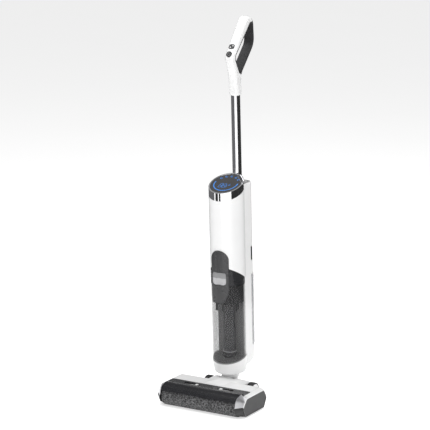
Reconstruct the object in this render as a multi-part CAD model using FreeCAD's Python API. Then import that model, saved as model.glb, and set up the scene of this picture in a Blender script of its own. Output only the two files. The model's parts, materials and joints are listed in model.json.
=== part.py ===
import FreeCAD, Part
import math
import os

# Upright wet dry floor scrubber: a wide floor head with one powered roller, a swivelling neck,
# a round body with a dirty-water tank in front and a clean-water tank behind, a pole and a loop
# handle.  Millimetres.  X is to the right, Y to the rear, Z up.
# The head is drawn with Y = 0 on the roller's axis.  Everything above the neck's pivot is drawn
# upright with the pivot at 0, 0, 0, and then leaned forward into its parked stance.

V = FreeCAD.Vector

# ---- driving dimensions: stance ----------------------------------------------------------------
PARK_LEAN_DEG = 2.7
PIVOT_Y = 157.0
WHEEL_R = 25.5
PIVOT_Z = WHEEL_R

# ---- driving dimensions: clearances ------------------------------------------------------------
RUN_FIT = 0.05
GAP = 0.4
WALL = 2.5

# ---- driving dimensions: floor head ------------------------------------------------------------
HEAD_W = 280.0
HEAD_FLOOR_Z = 4.0
HEAD_TOP_Z = 62.0
HEAD_REAR_Y = 119.0
HEAD_WAIST_Z = 31.0
HEAD_BOTTOM_REAR_Y = 102.0
HEAD_BOTTOM_FRONT_Y = -2.0
HEAD_NOSE_Y = -17.0
SIDE_DROP = 6.0
SIDE_COVER_T = 10.5
BASE_T = 4.0
ROLLER_R = 30.0
ROLLER_LEN = 242.0
ROLLER_END_GAP = 1.2
ROLLER_CORE_R = 23.0
ROLLER_CORE_WALL = 3.0
CAP_T = 6.0
SHAFT_R = 4.0
WINDOW_IN_R = 33.2
WINDOW_T = 2.8
WINDOW_FRONT_DEG = 149.0
WINDOW_BACK_Y = 48.5
WINDOW_CREASE_Y = 17.5
SLOT_IN_X = 43.0
SLOT_OUT_X = 79.0
SLOT_FRONT_Y = 24.0
SLOT_REAR_Y = 38.0
CORNER_REAR_Y = 8.0
CORNER_T = 2.5
TRIM_SPLIT_Z = 34.0
MOTOR_Y = 78.0
MOTOR_Z = 32.0
MOTOR_R = 14.0
MOTOR_LEN = 62.0
MOTOR_PULLEY_R = 6.0
ROLLER_PULLEY_R = 13.0
PULLEY_W = 6.0
BELT_T = 1.4
SQUEEGEE_Y = 40.0
SQUEEGEE_ROOT = 2.0
SCREW_R = 1.6
SCREW_LEN = 3.0

# ---- driving dimensions: hump, wheels and neck -------------------------------------------------
HUMP_TOP_Z = 67.0
HUMP_SIDE_Z = 50.0
HUMP_HALF_W = 60.0
HUMP_REAR = 14.0
HUMP_FRONT_Y = 56.0
CHEEK_IN_X = 51.0
CHEEK_T = 5.0
WHEEL_IN_X = 62.0
WHEEL_W = 18.0
TYRE_T = 4.0
AXLE_R = 3.0
BARREL_R = 20.0
BARREL_HALF_W = 50.0
DUCT_R = 14.0
STUB_R = 21.0
STUB_TOP = 37.0
COLLAR_R = 26.0
COLLAR_TOP = 52.0
SWIVEL_PIN_R = 17.0

# ---- driving dimensions: body ------------------------------------------------------------------
BODY_R = 50.0
SPINE_HALF_W = 42.0
SPINE_FRONT = 9.5
SPINE_REAR = BODY_R + 32.0
SPINE_CORNER_R = 20.0
SPINE_BOTTOM = 76.0
SPINE_TOP = 603.0
CUP_FOOT_R = 38.0
CUP_WAIST_R = 46.6
CUP_WAIST_Z = 60.5
CUP_RIM_Z = 99.0
CUP_SLOPE_DEG = 15.75
SHELL_EDGE_Z = 342.0
SHELL_EDGE_DEG = 33.4
DISPLAY_Z = 606.0
DISPLAY_TILT_DEG = 20.0
BAND_H = 22.5
GLASS_T = 3.0
TONGUE_HALF_W = 27.0
TONGUE_BOTTOM = 268.0
TONGUE_TOP = 422.0
TONGUE_PROUD = 3.0
BUTTON_HALF_W = 21.0
BUTTON_BOTTOM = 323.0
BUTTON_TOP = 358.0
TANK_WALL = 2.2
LID_BOTTOM = 318.0
TANK_BACK = 8.0
RECESS_BOTTOM = 118.0
RECESS_TOP = 412.0
RECESS_Y = BODY_R + 8.0
CLEAN_BOTTOM = 122.0
CLEAN_TOP = 330.0
CLEAN_REAR = SPINE_REAR + 4.0
CAP_TOP = 371.0
LATCH_TRAVEL = 3.0
BOARD_GAP = 4.4

# ---- driving dimensions: pole and handle -------------------------------------------------------
POLE_R = 13.0
POLE_WALL = 1.5
POLE_Y = BODY_R + POLE_R
POLE_BOTTOM = 520.0
SLEEVE_BOTTOM = 847.0
SLEEVE_R = 14.8
HANDLE_HALF_W = 14.6
HANDLE_EDGE_R = 10.0
FLARE_H = 58.0
POLE_SEAT = 24.0
BEND_AHEAD = 37.5
BEND_UP = 113.0
CREST_BACK = 50.0
CREST_UP = 213.7
LINER_T = 3.0
BUTTON_PROUD = 0.6
BUTTON_DEPTH = 6.0
BUTTON_ROOM = 1.6
BUTTON_GAP = 0.25
# name, distance up the handle from its bend, half width, half height, corner radius, extra lean
BUTTONS = [
    ("mode_button", 34.0, 8.4, 7.6, 5.0, 0.0),
    ("power_button", 9.5, 8.4, 8.4, 8.3, 8.0),
]

PARTS = {}
HALF_W = HEAD_W / 2
WALL_OUT_X = HALF_W - SIDE_COVER_T - GAP / 2
WALL_IN_X = ROLLER_LEN / 2 + ROLLER_END_GAP


# ---- drawing helpers ---------------------------------------------------------------------------
def box(x0, x1, y0, y1, z0, z1):
    return Part.makeBox(x1 - x0, y1 - y0, z1 - z0, V(x0, y0, z0))


def rod_x(r, x0, x1, y, z):
    return Part.makeCylinder(r, x1 - x0, V(x0, y, z), V(1, 0, 0))


def rod_y(r, y0, y1, x, z):
    return Part.makeCylinder(r, y1 - y0, V(x, y0, z), V(0, 1, 0))


def rod_z(r, z0, z1, x=0.0, y=0.0):
    return Part.makeCylinder(r, z1 - z0, V(x, y, z0), V(0, 0, 1))


def join(*shapes):
    return shapes[0].fuse(list(shapes[1:])).removeSplitter()


def rounded_wire(corners):
    """A closed wire through (point, radius) corners, each turned by an arc of its radius."""
    edges = []
    count = len(corners)
    ends = []
    for i, (p, r) in enumerate(corners):
        to_last = (corners[i - 1][0] - p).normalize()
        to_next = (corners[(i + 1) % count][0] - p).normalize()
        half = to_last.getAngle(to_next) / 2
        reach = r / math.tan(half)
        a = p + to_last * reach
        b = p + to_next * reach
        bisector = (to_last + to_next).normalize()
        mid = p + bisector * (r / math.sin(half) - r)
        ends.append((a, mid, b, r))
    for i, (a, mid, b, r) in enumerate(ends):
        if r > 0:
            edges.append(Part.Arc(a, mid, b).toShape())
        edges.append(Part.LineSegment(b, ends[(i + 1) % count][0]).toShape())
    return Part.Wire(edges)


def prism_x(corners, x0, x1):
    """Corners are (y, z, radius); the outline is carried from x0 to x1."""
    wire = rounded_wire([(V(x0, y, z), r) for y, z, r in corners])
    return Part.Face(wire).extrude(V(x1 - x0, 0, 0))


def prism_y(corners, y0, y1):
    """Corners are (x, z, radius); the outline is carried from y0 to y1."""
    wire = rounded_wire([(V(x, y0, z), r) for x, z, r in corners])
    return Part.Face(wire).extrude(V(0, y1 - y0, 0))


def prism_z(corners, z0, z1):
    """Corners are (x, y, radius); the outline is carried from z0 to z1."""
    wire = rounded_wire([(V(x, y, z0), r) for x, y, r in corners])
    return Part.Face(wire).extrude(V(0, 0, z1 - z0))


def mirrored(shape):
    return shape.mirror(V(0, 0, 0), V(1, 0, 0))


def park(shape):
    """Lean an upright piece forward about the pivot and set it on the head's pivot."""
    stood = shape.copy()
    stood.rotate(V(0, 0, 0), V(1, 0, 0), PARK_LEAN_DEG)
    stood.translate(V(0, PIVOT_Y, PIVOT_Z))
    return stood


def biggest(shape):
    """The one solid that is meant, without slivers that a cut leaves."""
    return sorted(shape.Solids, key=lambda s: s.Volume)[-1]


def keep_head(name, shape):
    PARTS[name] = shape


def keep_upright(name, shape):
    PARTS[name] = park(shape)


def screw(r, length, x, y, z, axis):
    """A countersunk screw whose head is flush at x, y, z and whose shank runs along axis."""
    at = V(x, y, z)
    head = Part.makeCone(r * 2, r, r, at, axis)
    shank = Part.makeCylinder(r, length, at, axis)
    return join(head, shank)


# ---- floor head --------------------------------------------------------------------------------
def head_outline(top_z, inset=0.0):
    return [
        (HEAD_BOTTOM_FRONT_Y + inset, HEAD_FLOOR_Z + inset, 4.0),
        (HEAD_BOTTOM_REAR_Y - inset / 2, HEAD_FLOOR_Z + inset, 6.0),
        (HEAD_REAR_Y - inset, HEAD_WAIST_Z, 14.0),
        (HEAD_BOTTOM_REAR_Y - inset / 2, top_z - inset, 11.0),
        (HEAD_BOTTOM_FRONT_Y + 5.0 + inset / 2, top_z - inset, 13.0),
        (HEAD_NOSE_Y + inset, HEAD_WAIST_Z, 11.0),
    ]


def outline_wire(x, top_z, inset):
    return rounded_wire([(V(x, y, z), r) for y, z, r in head_outline(top_z, inset)])


def side_block(x_in, x_out, inset):
    """The end of the head: its top falls by SIDE_DROP from the inner face to the outer face."""
    inner = outline_wire(x_in, HEAD_TOP_Z, inset)
    outer = outline_wire(x_out, HEAD_TOP_Z - SIDE_DROP, inset)
    return Part.makeLoft([inner, outer], True, True)


def side_cover(sign):
    """White end shell, open inwards, with a shallow seat for the dark panel in its outer face."""
    x_in = HALF_W - SIDE_COVER_T
    panel_t = 2.0
    shell = side_block(x_in, HALF_W, 0.0)
    hollow = side_block(x_in - 1.0, HALF_W - panel_t - 1.5, WALL)
    seat = prism_x(head_outline(HEAD_TOP_Z - SIDE_DROP, 1.8), HALF_W - panel_t, HALF_W + 1.0)
    panel = prism_x(head_outline(HEAD_TOP_Z - SIDE_DROP, 2.0), HALF_W - panel_t, HALF_W - 0.4)
    cover = shell.cut(hollow).cut(seat)
    front = box(x_in - 1.0, corner_out_x() + GAP, -60.0, CORNER_REAR_Y + GAP, 0.0, 80.0)
    cover = cover.cut(front)
    if sign > 0:
        keep_head("side_cover_right", cover)
        keep_head("side_panels", Part.makeCompound([panel, mirrored(panel)]))
    else:
        keep_head("side_cover_left", mirrored(cover))


def corner_out_x():
    return HALF_W - 2.4


def corner_wire(x, spread, inset):
    """Outline of the front corner: spread 1 is the window's curve, spread 0 the end panel's."""
    def at(inner, outer):
        return outer + (inner - outer) * spread
    nose = WINDOW_IN_R + WINDOW_T
    top = at(ROLLER_R + nose, HEAD_TOP_Z - SIDE_DROP) - inset
    corners = [
        (30.0, HEAD_FLOOR_Z + inset, 1.0),
        (30.0, top, 1.0),
        (at(6.0, 4.0) + inset * 0.4, top, 10.0),
        (at(-26.0, -8.5) + inset * 0.7, at(ROLLER_R + 30.0, 47.5) - inset * 0.7, at(16.0, 12.0)),
        (at(-38.0, HEAD_NOSE_Y) + inset, at(22.0, 28.0) + inset * 0.2, at(16.0, 10.0)),
        (at(-8.0, HEAD_BOTTOM_FRONT_Y) + inset * 0.5, HEAD_FLOOR_Z + inset, 4.0),
    ]
    return rounded_wire([(V(x, y, z), r) for y, z, r in corners])


def corner_block(inset):
    """Solid front corner beside the roller, lofted from the window's curve to the end panel's."""
    inner = corner_wire(WALL_IN_X, 1.0, inset)
    outer = corner_wire(corner_out_x(), 0.0, inset)
    block = Part.makeLoft([inner, outer], True, True)
    return block.common(box(0.0, HALF_W, -60.0, CORNER_REAR_Y, 0.0, 80.0))


def low_top():
    return TRIM_SPLIT_Z - GAP / 2


def head_base():
    """Chassis: floor plate, curved wall behind the roller, end walls and low front corners."""
    plate = box(-WALL_OUT_X, WALL_OUT_X, 33.0, HEAD_BOTTOM_REAR_Y - 3.0, HEAD_FLOOR_Z, HEAD_FLOOR_Z + BASE_T)
    wall_r = ROLLER_R + 4.0
    drum = rod_x(wall_r + WALL, -WALL_IN_X, WALL_IN_X, 0.0, ROLLER_R)
    drum = drum.cut(rod_x(wall_r, -HALF_W, HALF_W, 0.0, ROLLER_R))
    keep_zone = box(-HALF_W, HALF_W, 20.0, 60.0, HEAD_FLOOR_Z, ROLLER_R + 24.0)
    drum = drum.common(keep_zone)
    mouth = box(-22.0, 22.0, 20.0, 45.0, 12.0, 40.0)
    drum = drum.cut(mouth)
    groove = box(-HALF_W, HALF_W, SQUEEGEE_Y - 3.5, SQUEEGEE_Y + 3.5, 0.0, HEAD_FLOOR_Z + SQUEEGEE_ROOT + 0.2)
    base = join(plate, drum).cut(groove)
    for sign in (-1, 1):
        wall = prism_x(head_outline(HEAD_TOP_Z - 3.0, 3.5), WALL_IN_X, WALL_OUT_X)
        wall = wall.cut(box(WALL_IN_X - 1, WALL_OUT_X + 1, -60.0, 200.0, HEAD_TOP_Z - 9.0, HEAD_TOP_Z))
        wall = wall.cut(box(WALL_IN_X - 1, HALF_W, -60.0, CORNER_REAR_Y, 0.0, 80.0))
        nose = corner_block(CORNER_T).common(box(0.0, WALL_OUT_X, -60.0, 60.0, 0.0, 80.0))
        low = corner_block(0.0).cut(corner_block(CORNER_T))
        low = low.common(box(0.0, HALF_W, -60.0, 60.0, 0.0, low_top()))
        end = join(wall, nose, low)
        end = end.cut(rod_x(SHAFT_R + RUN_FIT, WALL_IN_X - 1, HALF_W, 0.0, ROLLER_R))
        if sign < 0:
            end = mirrored(end)
            end = end.cut(rod_x(SHAFT_R + 1.0, -HALF_W, -WALL_IN_X + 1, MOTOR_Y, MOTOR_Z))
        base = join(base, end)
    for sign in (-1, 1):
        cheek = prism_x([
            (HEAD_BOTTOM_REAR_Y - 12.0, HEAD_FLOOR_Z, 2.0),
            (PIVOT_Y + 4.0, HEAD_FLOOR_Z, 8.0),
            (PIVOT_Y + 15.0, PIVOT_Z, 9.0),
            (PIVOT_Y + 6.0, PIVOT_Z + 18.0, 9.0),
            (HEAD_BOTTOM_REAR_Y - 12.0, PIVOT_Z + 12.0, 3.0),
        ], CHEEK_IN_X, CHEEK_IN_X + CHEEK_T)
        cheek = cheek.cut(rod_x(AXLE_R + RUN_FIT, CHEEK_IN_X - 1, CHEEK_IN_X + CHEEK_T + 1, PIVOT_Y, PIVOT_Z))
        if sign < 0:
            cheek = mirrored(cheek)
        base = join(base, cheek)
    keep_head("head_base", base)


def hump_block(inset):
    """Solid under the raised fairing over the neck's pivot: a low dome with a rounded front in plan."""
    half = HUMP_HALF_W - inset
    front = HUMP_FRONT_Y + inset
    rear = PIVOT_Y + HUMP_REAR - inset
    profile = prism_x([
        (front - 4.0, 0.0, 0.0),
        (front - 4.0, HEAD_TOP_Z - 1.0 - inset, 0.0),
        (PIVOT_Y - 60.0, HUMP_TOP_Z - inset, 60.0),
        (PIVOT_Y - 28.0, HUMP_TOP_Z - 1.5 - inset, 40.0),
        (PIVOT_Y + 4.0, HUMP_TOP_Z - 14.0 - inset, 16.0),
        (rear, HUMP_TOP_Z - 27.0 - inset, 8.0),
        (rear, 0.0, 0.0),
    ], -half, half)
    section = prism_y([
        (-half, 0.0, 0.0),
        (-half, HUMP_SIDE_Z - inset, 6.0),
        (-half + 22.0, HUMP_SIDE_Z + 11.0 - inset, 40.0),
        (0.0, HUMP_TOP_Z - inset, 90.0),
        (half - 22.0, HUMP_SIDE_Z + 11.0 - inset, 40.0),
        (half, HUMP_SIDE_Z - inset, 6.0),
        (half, 0.0, 0.0),
    ], front - 10.0, rear + 10.0)
    plan = prism_z([
        (-half, front, half - 1.0),
        (half, front, half - 1.0),
        (half, rear, 8.0),
        (-half, rear, 8.0),
    ], 0.0, HUMP_TOP_Z + 10.0)
    return profile.common(section).common(plan)


def head_cover():
    """White top cover with the hump over the neck's pivot."""
    half_w = WALL_OUT_X
    outer = prism_x(head_outline(HEAD_TOP_Z, 0.0), -half_w, half_w)
    inner = prism_x(head_outline(HEAD_TOP_Z, WALL), -half_w - 1, half_w + 1)
    cover = outer.cut(inner)
    front = WINDOW_BACK_Y + GAP
    cover = cover.cut(box(-HALF_W, HALF_W, -100.0, front, 0.0, 100.0))
    low = HEAD_FLOOR_Z + BASE_T + GAP
    cover = cover.cut(box(-HALF_W, HALF_W, front - 1, HEAD_REAR_Y + 1, 0.0, low))
    hump = hump_block(0.0)
    room = hump_block(WALL)
    cover = join(cover, hump.cut(inner)).cut(room)
    cover = cover.cut(box(-HALF_W, HALF_W, 0.0, 300.0, -50.0, low))
    cover = cover.cut(box(-20.0 - GAP, 20.0 + GAP, 60.0, PIVOT_Y, 0.0, PIVOT_Z + 11.0 + GAP))
    cover = cover.cut(rod_x(STUB_R + 2.0, -BARREL_HALF_W - GAP, BARREL_HALF_W + GAP, PIVOT_Y, PIVOT_Z))
    cover = cover.cut(box(-BARREL_HALF_W, BARREL_HALF_W, PIVOT_Y, 300.0, 0.0, PIVOT_Z + 8.0))
    slot_half = COLLAR_R + 1.2
    slot_front = PIVOT_Y - COLLAR_R - 3.0
    cover = cover.cut(box(-slot_half, slot_half, slot_front, 300.0, PIVOT_Z, 100.0))
    for sign in (-1, 1):
        hole = rod_x(AXLE_R + 0.5, CHEEK_IN_X, HALF_W, PIVOT_Y, PIVOT_Z)
        cover = cover.cut(hole if sign > 0 else mirrored(hole))
        relief = box(CHEEK_IN_X - 1.0, CHEEK_IN_X + CHEEK_T + GAP, HEAD_BOTTOM_REAR_Y - 14.0,
                     PIVOT_Y + HUMP_REAR + 1, 0.0, PIVOT_Z + 22.0)
        cover = cover.cut(relief if sign > 0 else mirrored(relief))
    keep_head("head_cover", biggest(cover))


def roller_window():
    """Smoky cover over the roller: a curved front and a flat strip with two latch slots."""
    half_w = WALL_OUT_X - GAP
    front_half = WALL_IN_X - GAP
    outer_r = WINDOW_IN_R + WINDOW_T
    arc = rod_x(outer_r, -front_half, front_half, 0.0, ROLLER_R)
    arc = arc.cut(rod_x(WINDOW_IN_R, -HALF_W, HALF_W, 0.0, ROLLER_R))
    start = math.radians(WINDOW_FRONT_DEG)
    far = 60.0
    lip = prism_x([
        (0.0, ROLLER_R, 0.0),
        (far * math.cos(start), ROLLER_R + far * math.sin(start), 0.0),
        (-far, ROLLER_R + far, 0.0),
        (WINDOW_CREASE_Y, ROLLER_R + far, 0.0),
        (WINDOW_CREASE_Y, ROLLER_R, 0.0),
    ], -HALF_W, HALF_W)
    arc = arc.common(lip)
    top = HEAD_TOP_Z - 0.5
    strip_front = WINDOW_CREASE_Y - 9.0
    strip = prism_z([
        (-half_w, strip_front + 5.0, 3.0),
        (-half_w + 5.0, strip_front, 2.0),
        (half_w - 5.0, strip_front, 2.0),
        (half_w, strip_front + 5.0, 3.0),
        (half_w, WINDOW_BACK_Y - 6.0, 3.0),
        (half_w - 5.0, WINDOW_BACK_Y, 2.0),
        (-half_w + 5.0, WINDOW_BACK_Y, 2.0),
        (-half_w, WINDOW_BACK_Y - 6.0, 3.0),
    ], top - WINDOW_T - 0.6, top)
    crown = rod_x(outer_r, -half_w, half_w, 0.0, ROLLER_R)
    strip_nose = strip.common(join(crown, box(-half_w, half_w, WINDOW_CREASE_Y - 6.0, 60.0, 0.0, 90.0)))
    window = join(arc, strip_nose)
    window = window.cut(rod_x(WINDOW_IN_R, -HALF_W, HALF_W, 0.0, ROLLER_R))
    for sign in (-1, 1):
        slot = prism_z([
            (SLOT_IN_X - 11.0, SLOT_FRONT_Y, 1.0),
            (SLOT_OUT_X, SLOT_FRONT_Y, 1.5),
            (SLOT_OUT_X, SLOT_REAR_Y, 1.5),
            (SLOT_IN_X - 11.0, SLOT_REAR_Y, 1.0),
        ], top - 8.0, top + 1.0)
        window = window.cut(slot if sign > 0 else mirrored(slot))
        hook = join(
            box(SLOT_IN_X - 7.0, SLOT_IN_X - 1.0, SLOT_FRONT_Y + 0.6, SLOT_REAR_Y - 0.6, top - 4.0, top),
            box(SLOT_IN_X - 7.0, SLOT_IN_X + 20.0, SLOT_FRONT_Y + 3.0, SLOT_REAR_Y - 3.0, top - 6.5, top - 3.5),
        )
        name = "window_latch_right" if sign > 0 else "window_latch_left"
        keep_head(name, hook if sign > 0 else mirrored(hook))
    keep_head("roller_window", window)


def corner_trims():
    """Silver caps on the curved corners beside the roller window."""
    cap = corner_block(0.0).cut(corner_block(CORNER_T))
    cap = cap.common(box(0.0, HALF_W, -60.0, CORNER_REAR_Y, TRIM_SPLIT_Z + GAP / 2, 80.0))
    under_strip = box(0.0, WALL_OUT_X, WINDOW_CREASE_Y - 14.0, 60.0, HEAD_TOP_Z - 4.5, 80.0)
    cap = cap.cut(under_strip)
    cap = sorted(cap.Solids, key=lambda s: s.Volume)[-1]
    keep_head("corner_trims", Part.makeCompound([cap, mirrored(cap)]))


def roller():
    """Fabric sleeve on a hollow core with end caps, driven on the left and free on the right."""
    half = ROLLER_LEN / 2
    core = rod_x(ROLLER_CORE_R, -half + CAP_T, half - CAP_T, 0.0, ROLLER_R)
    core = core.cut(rod_x(ROLLER_CORE_R - ROLLER_CORE_WALL, -half, half, 0.0, ROLLER_R))
    keep_head("roller_core", core)
    sleeve = rod_x(ROLLER_R, -half, half, 0.0, ROLLER_R)
    sleeve = sleeve.cut(rod_x(ROLLER_CORE_R, -half - 1, half + 1, 0.0, ROLLER_R))
    keep_head("roller_sleeve", sleeve)
    boss_r = ROLLER_CORE_R - ROLLER_CORE_WALL
    idle = join(
        rod_x(ROLLER_CORE_R, half - CAP_T, half, 0.0, ROLLER_R),
        rod_x(boss_r, half - CAP_T * 2, half - CAP_T, 0.0, ROLLER_R),
        rod_x(SHAFT_R, half, WALL_OUT_X + 1.0, 0.0, ROLLER_R),
    )
    keep_head("roller_idle_cap", idle)
    drive = join(
        rod_x(ROLLER_CORE_R, -half, -half + CAP_T, 0.0, ROLLER_R),
        rod_x(boss_r, -half + CAP_T, -half + CAP_T * 2, 0.0, ROLLER_R),
        rod_x(SHAFT_R, -WALL_OUT_X - PULLEY_W - 0.5, -half, 0.0, ROLLER_R),
    )
    keep_head("roller_drive_cap", drive)
    keep_head("roller_pulley", pulley(ROLLER_PULLEY_R, SHAFT_R, 0.0, ROLLER_R))


def pulley(r, bore, y, z):
    """A flanged pulley outside the left end wall."""
    x0 = -WALL_OUT_X - PULLEY_W - 0.3
    x1 = -WALL_OUT_X - 0.3
    flange = 0.6
    wheel = join(
        rod_x(r, x0, x1, y, z),
        rod_x(r + 1.8, x0, x0 + flange, y, z),
        rod_x(r + 1.8, x1 - flange, x1, y, z),
    )
    return wheel.cut(rod_x(bore, x0 - 1, x1 + 1, y, z))


def belt():
    """Loop of constant thickness round both pulleys, on their outer tangents."""
    x0 = -WALL_OUT_X - PULLEY_W - 0.3 + 1.0
    x1 = -WALL_OUT_X - 0.3 - 1.0
    span_y = MOTOR_Y
    span_z = MOTOR_Z - ROLLER_R

    def loop(grow):
        r1 = ROLLER_PULLEY_R + grow
        r2 = MOTOR_PULLEY_R + grow
        length = math.hypot(span_y, span_z)
        along = V(0, span_y / length, span_z / length)
        across = V(0, -along.z, along.y)
        lean = (r1 - r2) / length
        rise = math.sqrt(1 - lean * lean)
        c1 = V(x0, 0.0, ROLLER_R)
        c2 = V(x0, MOTOR_Y, MOTOR_Z)
        up = along * lean + across * rise
        down = along * lean - across * rise
        edges = [
            Part.LineSegment(c1 + up * r1, c2 + up * r2).toShape(),
            Part.Arc(c2 + up * r2, c2 + along * r2, c2 + down * r2).toShape(),
            Part.LineSegment(c2 + down * r2, c1 + down * r1).toShape(),
            Part.Arc(c1 + down * r1, c1 - along * r1, c1 + up * r1).toShape(),
        ]
        return Part.Face(Part.Wire(edges)).extrude(V(x1 - x0, 0, 0))

    clear = 0.05
    keep_head("drive_belt", loop(BELT_T).cut(loop(clear)))


def roller_motor():
    """Brush motor behind the roller, with its shaft through the left end wall."""
    x1 = -WALL_IN_X + 1.0
    body = rod_x(MOTOR_R, x1 + 1.0, x1 + MOTOR_LEN, MOTOR_Y, MOTOR_Z)
    foot = box(x1 + 6.0, x1 + MOTOR_LEN - 6.0, MOTOR_Y - 9.0, MOTOR_Y + 9.0,
               HEAD_FLOOR_Z + BASE_T, MOTOR_Z - MOTOR_R + 2.0)
    can = join(body, foot).cut(rod_x(SHAFT_R - 1.5 + RUN_FIT, x1 - 5, x1 + 22.0, MOTOR_Y, MOTOR_Z))
    keep_head("roller_motor", can)
    shaft = rod_x(SHAFT_R - 1.5, -WALL_OUT_X - PULLEY_W - 0.3, x1 + 20.0, MOTOR_Y, MOTOR_Z)
    keep_head("motor_pulley", join(pulley(MOTOR_PULLEY_R, SHAFT_R - 1.5, MOTOR_Y, MOTOR_Z), shaft))


def water_bar():
    """Spray bar above the rear of the roller, with a row of outlets, and the scraper under it."""
    y = 41.0
    z = 52.5
    bar = rod_x(3.5, -100.0, 100.0, y, z)
    bar = bar.cut(rod_x(2.2, -98.0, 98.0, y, z))
    for i in range(9):
        x = -88.0 + 22.0 * i
        bar = bar.cut(Part.makeCylinder(0.7, 6.0, V(x, y, z), V(0, -1, -1)))
    keep_head("spray_bar", bar)
    scraper = box(-WALL_IN_X + 3, WALL_IN_X - 3, ROLLER_R + 0.8, ROLLER_R + 3.8, -1.0, 1.0)
    scraper.rotate(V(0, 0, 0), V(1, 0, 0), 28.0)
    scraper.translate(V(0, 0, ROLLER_R))
    keep_head("roller_scraper", scraper)
    squeegee = prism_x([
        (SQUEEGEE_Y - 1.0, 0.8, 0.4),
        (SQUEEGEE_Y + 1.0, 0.8, 0.4),
        (SQUEEGEE_Y + 3.0, HEAD_FLOOR_Z + SQUEEGEE_ROOT, 0.5),
        (SQUEEGEE_Y - 3.0, HEAD_FLOOR_Z + SQUEEGEE_ROOT, 0.5),
    ], -WALL_IN_X, WALL_IN_X)
    keep_head("squeegee", squeegee)


def suction_duct():
    """Duct from the mouth behind the roller back to the pivot."""
    y0 = 38.5
    y1 = PIVOT_Y - BARREL_R - 1.5
    z_mid = PIVOT_Z
    outer = box(-20.0, 20.0, y0, y1, z_mid - 11.0, z_mid + 11.0)
    duct = outer.cut(box(-17.5, 17.5, y0 - 1, y1 + 1, z_mid - 8.5, z_mid + 8.5))
    keep_head("suction_duct", duct)


def wheels():
    """Two wheels outside the hump, each a tyre on a hub that turns on its own axle pin."""
    x0 = WHEEL_IN_X
    x1 = WHEEL_IN_X + WHEEL_W
    tyre = rod_x(WHEEL_R, x0, x1, PIVOT_Y, PIVOT_Z)
    tyre = tyre.makeFillet(2.0, [e for e in tyre.Edges if len(e.Vertexes) == 1])
    tyre = tyre.cut(rod_x(WHEEL_R - TYRE_T, x0 - 1, x1 + 1, PIVOT_Y, PIVOT_Z))
    hub = rod_x(WHEEL_R - TYRE_T, x0, x1, PIVOT_Y, PIVOT_Z)
    hub = hub.cut(rod_x(WHEEL_R - TYRE_T - 4.0, x1 - 1.5, x1 + 1, PIVOT_Y, PIVOT_Z))
    hub = hub.cut(rod_x(AXLE_R + RUN_FIT, x0 - 1, x1 - 4.0, PIVOT_Y, PIVOT_Z))
    pin_in = CHEEK_IN_X + CHEEK_T
    pin = rod_x(AXLE_R, pin_in + 0.2, x1 - 4.5, PIVOT_Y, PIVOT_Z)
    pin = join(pin, rod_x(AXLE_R + 2.0, pin_in, pin_in + 1.2, PIVOT_Y, PIVOT_Z))
    keep_head("wheel_axles", Part.makeCompound([pin, mirrored(pin)]))
    for side, flip in (("right", False), ("left", True)):
        keep_head("wheel_tyre_" + side, mirrored(tyre) if flip else tyre)
        keep_head("wheel_hub_" + side, mirrored(hub) if flip else hub)


# ---- neck --------------------------------------------------------------------------------------
def neck():
    """Barrel across the pivot with a hollow stub that carries the swivel."""
    barrel = rod_x(BARREL_R, -BARREL_HALF_W, BARREL_HALF_W, 0.0, 0.0)
    stub = rod_z(STUB_R, 0.0, STUB_TOP)
    pin = rod_x(AXLE_R, -CHEEK_IN_X - CHEEK_T, CHEEK_IN_X + CHEEK_T, 0.0, 0.0)
    yoke = join(barrel, stub, pin)
    swivel_pin = rod_z(SWIVEL_PIN_R, STUB_TOP, COLLAR_TOP + 8.0)
    yoke = join(yoke, swivel_pin)
    yoke = yoke.cut(rod_z(DUCT_R, 4.0, 100.0))
    yoke = yoke.cut(rod_y(DUCT_R - 3.0, -BARREL_R - 5.0, 8.0, 0.0, 2.0))
    keep_upright("neck_yoke", yoke)
    hose = rod_z(DUCT_R - 0.3, 14.0, COLLAR_TOP + 30.0)
    hose = hose.cut(rod_z(DUCT_R - 2.0, 13.0, 100.0))
    ribs = []
    for i in range(5):
        z = COLLAR_TOP + 10.0 + 4.0 * i
        ribs.append(rod_z(DUCT_R + 1.2, z, z + 1.6).cut(rod_z(DUCT_R - 2.0, z - 1, z + 3)))
    keep_upright("neck_hose", join(hose, *ribs))
    ring = rod_z(SWIVEL_PIN_R + 3.0, COLLAR_TOP + 5.2, COLLAR_TOP + 7.2)
    ring = ring.cut(rod_z(SWIVEL_PIN_R, COLLAR_TOP, COLLAR_TOP + 9.0))
    keep_upright("swivel_clip", ring)


# ---- body --------------------------------------------------------------------------------------
def slanted(z_at_axis, slope_deg, up):
    """A half space above (up) or below a plane that rises to the rear by slope_deg."""
    big = 400.0
    block = box(-big, big, -big, big, 0.0, 2 * big) if up else box(-big, big, -big, big, -2 * big, 0.0)
    block.rotate(V(0, 0, 0), V(1, 0, 0), slope_deg)
    block.translate(V(0, 0, z_at_axis))
    return block


def rim_top(offset, up):
    return slanted(CUP_RIM_Z + offset, CUP_SLOPE_DEG, up)


def shell_edge(offset, up):
    return slanted(SHELL_EDGE_Z + offset, -SHELL_EDGE_DEG, up)


def display_plane(offset, up):
    return slanted(DISPLAY_Z + offset, DISPLAY_TILT_DEG, up)


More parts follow.
